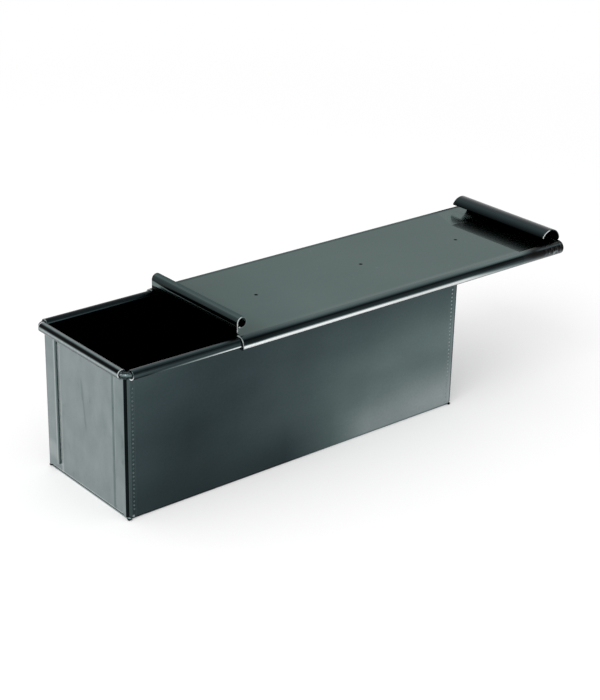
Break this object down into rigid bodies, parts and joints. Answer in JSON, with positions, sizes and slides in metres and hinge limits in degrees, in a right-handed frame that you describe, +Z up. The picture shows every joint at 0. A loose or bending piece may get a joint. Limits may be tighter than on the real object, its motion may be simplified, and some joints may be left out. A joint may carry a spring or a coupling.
{
  "type": "pullman loaf pan with sliding lid",
  "caption": "Long straight-sided loaf pan of folded blued steel sheet with wired rolled rims and a flat lid that slides along them.",
  "frame": {"origin": "centre of the pan's flat underside", "axes": "+X along the pan, the way the lid slides open; +Y across the pan to its far long side; +Z up"},
  "size_m": [0.4181, 0.1164, 0.1262],
  "materials": {
    "pan_steel": "blued, satin",
    "lid_steel": "blued, satin",
    "wire_steel": "plain drawn wire"
  },
  "bodies": {
    "pan": {"trough": "pan_steel", "end_panel_left": "pan_steel", "end_panel_right": "pan_steel", "rim_wire": "wire_steel"},
    "lid": {"lid": "lid_steel"}
  },
  "joints": [
    {"name": "lid_slide", "type": "slide", "parent": "pan", "child": "lid", "axis": [1, 0, 0], "range_m": [-0.097, 0.22]}
  ]
}
